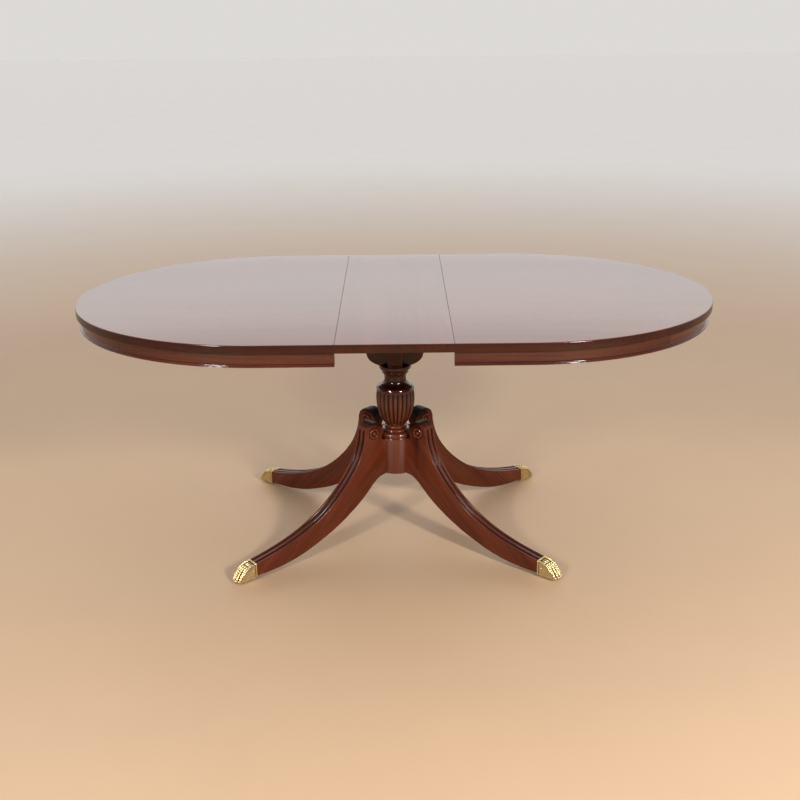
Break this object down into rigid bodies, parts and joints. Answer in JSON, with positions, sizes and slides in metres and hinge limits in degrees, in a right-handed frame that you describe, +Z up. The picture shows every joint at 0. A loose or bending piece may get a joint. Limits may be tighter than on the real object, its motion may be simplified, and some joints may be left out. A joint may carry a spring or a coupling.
{
  "type": "extending pedestal table",
  "caption": "Extending oval pedestal dining table with D-shaped ends on geared slides, a drop-in leaf, a turned column and sabre legs with lion-paw toe caps.",
  "frame": {"origin": "on the floor, under the column's axis, at the centre of the footprint", "axes": "+X along the table's length, the way the right-hand end pulls out; +Y to the back; +Z up"},
  "size_m": [1.838, 1.066, 0.749],
  "materials": {
    "mahogany": "high-gloss red mahogany lacquer",
    "dark_mahogany": "high-gloss dark mahogany lacquer",
    "slide_wood": "waxed bare hardwood",
    "brass": "polished cast brass, dark in the recesses",
    "steel": "zinc-plated",
    "iron": "black"
  },
  "bodies": {
    "pedestal": {"column": "dark_mahogany", "bearer_long": "dark_mahogany", "bearer_cross": "dark_mahogany", "left_slide_cleat": "slide_wood", "right_slide_cleat": "slide_wood", "centre_rail_back": "slide_wood", "centre_rail_front": "slide_wood", "pinion_screw": "steel", "back_right_leg": "mahogany", "back_left_leg": "mahogany", "front_left_leg": "mahogany", "front_right_leg": "mahogany", "back_right_paw_cap": "brass", "back_left_paw_cap": "brass", "front_left_paw_cap": "brass", "front_right_paw_cap": "brass", "tie_rod": "steel", "top_washer": "steel", "top_nut": "steel", "bottom_washer": "steel", "bottom_nut": "steel", "leg_plate": "iron", "back_right_plate_screw": "steel", "back_left_plate_screw": "steel", "front_left_plate_screw": "steel", "front_right_plate_screw": "steel"},
    "left_end": {"left_top": "mahogany", "left_apron_front": "mahogany", "left_apron_end": "mahogany", "left_apron_back": "mahogany", "left_glue_block_front": "slide_wood", "left_glue_block_back": "slide_wood", "left_rail_back": "slide_wood", "left_rail_front": "slide_wood", "left_leaf_pin_front": "brass", "left_leaf_pin_back": "brass", "left_rack": "slide_wood", "left_lock_pivot": "brass"},
    "right_end": {"right_top": "mahogany", "right_apron_front": "mahogany", "right_apron_end": "mahogany", "right_apron_back": "mahogany", "right_glue_block_front": "slide_wood", "right_glue_block_back": "slide_wood", "right_rail_back": "slide_wood", "right_rail_front": "slide_wood", "right_leaf_pin_front": "brass", "right_leaf_pin_back": "brass", "right_rack": "slide_wood", "right_lock_pivot": "brass"},
    "leaf": {"leaf_top": "mahogany", "left_lock_stud": "brass", "right_lock_stud": "brass"},
    "pinion": {"equaliser_pinion": "steel"},
    "left_lock": {"left_lock_lever": "brass"},
    "right_lock": {"right_lock_lever": "brass"}
  },
  "joints": [
    {"name": "left_end_slide", "type": "slide", "parent": "pedestal", "child": "left_end", "axis": [-1, 0, 0], "range_m": [0, 0.15]},
    {"name": "right_end_slide", "type": "slide", "parent": "pedestal", "child": "right_end", "axis": [1, 0, 0], "range_m": [0, 0.15]},
    {"name": "pinion_turn", "type": "hinge", "parent": "pedestal", "child": "pinion", "pos_m": [0.07, 0, 0.706], "axis": [0, 0, 1], "range_deg": [0, 410]},
    {"name": "leaf_lift", "type": "slide", "parent": "pedestal", "child": "leaf", "axis": [0, 0, 1], "range_m": [0, 0.12]},
    {"name": "left_lock_turn", "type": "hinge", "parent": "left_end", "child": "left_lock", "pos_m": [-0.185, -0.33, 0.7205], "axis": [0, 0, -1], "range_deg": [0, 90]},
    {"name": "right_lock_turn", "type": "hinge", "parent": "right_end", "child": "right_lock", "pos_m": [0.185, -0.33, 0.7205], "axis": [0, 0, 1], "range_deg": [0, 90]}
  ],
  "couplings": [
    {"joint": "right_end_slide", "follows": "left_end_slide", "ratio": 1},
    {"joint": "pinion_turn", "follows": "left_end_slide", "rad_per_m": 47.619}
  ]
}
